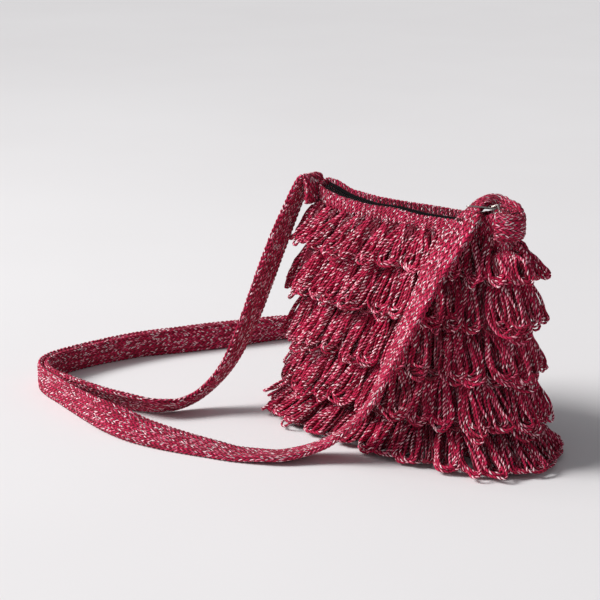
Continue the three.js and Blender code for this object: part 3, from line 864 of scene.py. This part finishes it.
def yarn_material():
    """Marled yarn. The map holds the turn round the strand, and the length along it. One
    ply is pale, so a pale dash shows slantwise at each half turn of the twist."""
    n = Nodes("crimson_loops")
    turn, along = n.uv("yarn")
    twisted = n.math("ADD", n.math("MULTIPLY", turn, 2.0), n.math("DIVIDE", along, MARL_PITCH))
    beside = n.math("ABSOLUTE", n.math("SUBTRACT", n.math("FRACT", twisted), 0.5))
    chance = n.node("ShaderNodeTexWhiteNoise", {"W": n.math("FLOOR", twisted)}, noise_dimensions="1D")
    split = n.node("ShaderNodeSeparateColor", {"Color": chance.outputs["Color"]}).outputs
    patches = n.noise(n.xyz(n.math("MULTIPLY", along, 0.05)), 1.0)
    share = n.node("ShaderNodeMapRange", {0: patches, 1: 0.35, 2: 0.7, 3: 0.31, 4: 0.72}).outputs[0]
    width = n.node("ShaderNodeMapRange", {0: split[1], 1: 0.0, 2: 1.0, 3: 0.11, 4: 0.28}).outputs[0]
    inside = n.math("SUBTRACT", 1.0, n.step(n.math("DIVIDE", beside, width), 0.6, 1.2))
    pale = n.math("MULTIPLY", inside, n.math("LESS_THAN", split[0], share))
    position = n.node("ShaderNodeTexCoord").outputs["Object"]
    tone = n.noise(position, 60.0, 3.0)
    red = n.mix(n.step(tone, 0.3, 0.7), CRIMSON, BRIGHT)
    # Painted shade: the yarn darkens towards the gaps between its plies.
    red = n.mix(n.math("MULTIPLY", n.step(beside, 0.22, 0.46), 0.85), red, PAINTED_SHADE_RED)
    fleck = n.mix(n.step(split[2], 0.2, 0.8), PINK, PALE)
    # Painted shade: the inside layer's loops, known by their turn numbers, are darkened towards the
    # painted-shade red.
    painted_shade_inside = n.math("MULTIPLY", n.math("GREATER_THAN", turn, INNER_TURNS / 2), 0.6)
    n.bump(n.math("SUBTRACT", 1.0, beside), 0.0006, 0.8)
    marled = n.mix(n.math("MULTIPLY", pale, 0.92), red, fleck)
    return n.set(Base_Color=n.mix(painted_shade_inside, marled, PAINTED_SHADE_RED), Roughness=0.75,
                 Sheen_Weight=0.08, Sheen_Roughness=0.5, Specular_IOR_Level=0.2)


def crochet_material():
    """Crocheted cloth. The map holds a column's and a row's number. Pale flecks lie along the legs of
    the V stitches."""
    n = Nodes("crimson_crochet")
    column, row = n.uv("stitch")
    centred = n.math("SUBTRACT", n.math("FRACT", column), 0.5)
    across = n.math("MULTIPLY", n.math("ABSOLUTE", centred), 2.0)
    leg = n.math("SUBTRACT", row, n.math("MULTIPLY", across, STITCH_SLOPE))
    cells = n.node("ShaderNodeTexVoronoi", {
        "Vector": n.xyz(n.math("MULTIPLY", column, 2.6), n.math("MULTIPLY", leg, 2.0)),
        "Scale": 1.0, "Randomness": 0.85}, voronoi_dimensions="2D")
    chance = n.node("ShaderNodeSeparateColor", {"Color": cells.outputs["Color"]}).outputs
    inside = n.math("SUBTRACT", 1.0, n.step(cells.outputs["Distance"], 0.32, 0.48))
    pale = n.math("MULTIPLY", inside, n.math("LESS_THAN", chance[0], FLECK_SHARE))
    position = n.node("ShaderNodeTexCoord").outputs["Object"]
    tone = n.noise(position, 90.0, 4.0, 0.6)
    red = n.mix(n.step(tone, 0.3, 0.7), CRIMSON, BRIGHT)
    strand = n.math("ABSOLUTE", n.math("SINE", n.math("MULTIPLY", leg, math.pi)))
    edge = n.math("ABSOLUTE", n.math("SINE", n.math("MULTIPLY", column, math.pi)))
    relief = n.math(
        "MULTIPLY", n.math("SQRT", strand), n.math("ADD", n.math("MULTIPLY", edge, 0.5), 0.5))
    # Painted shade: the cloth darkens in the grooves between the stitches.
    painted_groove_shade = n.math("SUBTRACT", 1.0, n.step(relief, 0.2, 0.8))
    red = n.mix(n.math("MULTIPLY", painted_groove_shade, 0.9), red, PAINTED_SHADE_RED)
    fleck = n.mix(n.step(chance[1], 0.25, 0.75), PINK, PALE)
    fibres = n.noise(position, 900.0, 3.0)
    n.bump(n.math("ADD", relief, n.math("MULTIPLY", fibres, 0.35)), 0.0014, 1.0)
    return n.set(Base_Color=n.mix(n.math("MULTIPLY", pale, 0.97), red, fleck), Roughness=0.8,
                 Sheen_Weight=0.08, Sheen_Roughness=0.5, Specular_IOR_Level=0.2)


yarn = yarn_material()
crochet = crochet_material()


def tape_material():
    n = Nodes("black_tape")
    position = n.node("ShaderNodeTexCoord").outputs["Object"]
    weave = n.node("ShaderNodeTexWave", {
        "Vector": position, "Scale": 900.0, "Distortion": 0.5}).outputs[1]
    colour = n.mix(weave, srgb(7, 7, 9), srgb(24, 22, 26))
    n.bump(weave, 0.0002, 0.5)
    return n.set(Base_Color=colour, Roughness=0.9, Specular_IOR_Level=0.15)


def coil_material():
    n = Nodes("black_coil")
    position = n.node("ShaderNodeTexCoord").outputs["Object"]
    colour = n.mix(n.noise(position, 300.0), srgb(9, 9, 11), srgb(24, 23, 26))
    return n.set(Base_Color=colour, Roughness=0.5, Specular_IOR_Level=0.3)


def steel_material():
    n = Nodes("zip_steel")
    position = n.node("ShaderNodeTexCoord").outputs["Object"]
    stretched = n.node("ShaderNodeMapping", {"Vector": position, "Scale": (60, 900, 900)}).outputs[0]
    streaks = n.noise(stretched, 1.0)
    colour = n.mix(streaks, srgb(150, 145, 140), srgb(205, 200, 195))
    rough = n.node("ShaderNodeMapRange", {0: streaks, 1: 0.3, 2: 0.7, 3: 0.25, 4: 0.45}).outputs[0]
    n.bump(streaks, 0.00005, 0.5)
    return n.set(Base_Color=colour, Roughness=rough, Metallic=1.0)


# ---- make it ----

pouch = make_pouch()
strap = make_strap()

over_loops = strap_line(OVER_LOOPS_PITCH)
for number, tier in enumerate(TIERS, 1):
    rng = np.random.default_rng(100 + number)
    outer = bring_to_strap(loop_paths(tier, rng, 0), over_loops)
    layers = [press_under_strap(paths, over_loops) for paths in (outer, loop_paths(tier, rng, 1))]
    vertices, quads, maps = zip(*(
        tubes(paths, YARN, sides, rng, first_turn)
        for paths, (_, _, sides), first_turn in zip(layers, LAYERS, (0, INNER_TURNS))
    ))
    fringe = new_object(
        f"yarn_tier_{number}",
        np.concatenate(vertices),
        np.concatenate([quads[0], quads[1] + len(vertices[0])]),
        maps={"yarn": np.concatenate(maps)},
    )
    fix_normals(fringe)
    fringe.data.materials.append(yarn)
    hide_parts(tier[0])


tape, coil, steel = tape_material(), coil_material(), steel_material()
for node, material in {
    "zip_tape_front": tape, "zip_tape_back": tape, "zip_slider": steel, "zip_pull": steel,
}.items():
    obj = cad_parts[node]
    obj.data.materials.clear()
    obj.data.materials.append(material)
round_edges("zip_slider", radius=0.25)
round_edges("zip_pull", radius=0.3)
make_coil()

# ---- floor, light and camera ----

CAMERA = Vector((0.6443, -0.9676, 0.4677))
AZIMUTH, PITCH = math.radians(38.0), math.radians(17.2)  # from -Y towards +X, and down
LENS = 93.0
TO_CAMERA = Vector((math.sin(AZIMUTH), -math.cos(AZIMUTH), 0))
TO_LEFT = Vector((-math.cos(AZIMUTH), -math.sin(AZIMUTH), 0))
TO_SUN = TO_LEFT * 0.79 + TO_CAMERA * 0.03 + Vector((0, 0, 0.61))
WINDOW = TO_LEFT * 1.5 - TO_CAMERA * 0.1 + Vector((0, 0, 1.15))
LIT_PLACE = Vector((0, 0, 0.08))  # where the window's light is aimed


def make_camera():
    data = bpy.data.cameras.new("camera")
    data.lens = LENS
    data.sensor_width = 36.0
    camera = bpy.data.objects.new("camera", data)
    bpy.context.scene.collection.objects.link(camera)
    back = Vector((
        math.sin(AZIMUTH) * math.cos(PITCH),
        -math.cos(AZIMUTH) * math.cos(PITCH),
        math.sin(PITCH),
    ))
    right = Vector((math.cos(AZIMUTH), math.sin(AZIMUTH), 0))
    turn = Matrix((right, back.cross(right), back)).transposed()
    camera.matrix_world = Matrix.Translation(CAMERA) @ turn.to_4x4()
    bpy.context.scene.camera = camera


def make_floor():
    mesh = bpy.data.meshes.new("floor")
    half = 9.0
    corners = [(-half, -half, 0), (half, -half, 0), (half, half, 0), (-half, half, 0)]
    mesh.from_pydata(corners, [], [(0, 1, 2, 3)])
    floor = bpy.data.objects.new("floor", mesh)
    bpy.context.scene.collection.objects.link(floor)
    n = Nodes("paper")
    position = n.node("ShaderNodeTexCoord").outputs["Object"]
    tone = n.noise(position, 2.0, 3.0)
    colour = n.mix(tone, srgb(224, 221, 221), srgb(232, 230, 230))
    floor.data.materials.append(n.set(Base_Color=colour, Roughness=0.9, Specular_IOR_Level=0.2))


def make_lamp(name, place, size, energy):
    data = bpy.data.lights.new(name, "AREA")
    data.shape = "RECTANGLE"
    data.size, data.size_y = size
    data.energy = energy
    lamp = bpy.data.objects.new(name, data)
    bpy.context.scene.collection.objects.link(lamp)
    lamp.location = place
    lamp.rotation_mode = "QUATERNION"
    lamp.rotation_quaternion = (LIT_PLACE - place).to_track_quat("-Z", "Y")


def make_world(strength):
    world = bpy.data.worlds.new("studio")
    world.use_nodes = True
    background = world.node_tree.nodes["Background"]
    background.inputs[0].default_value = (0.93, 0.95, 1.0, 1)
    background.inputs[1].default_value = strength
    bpy.context.scene.world = world


def make_sun(towards_it, degrees, strength):
    data = bpy.data.lights.new("sun", "SUN")
    data.angle = math.radians(degrees)
    data.energy = strength
    sun = bpy.data.objects.new("sun", data)
    bpy.context.scene.collection.objects.link(sun)
    sun.rotation_mode = "QUATERNION"
    sun.rotation_quaternion = (-towards_it).to_track_quat("-Z", "Y")


make_camera()
make_floor()
make_sun(TO_SUN, degrees=22, strength=3.3)
make_lamp("window", WINDOW, size=(1.3, 1.1), energy=11)
make_world(strength=0.27)
bpy.context.scene.view_settings.view_transform = "Standard"
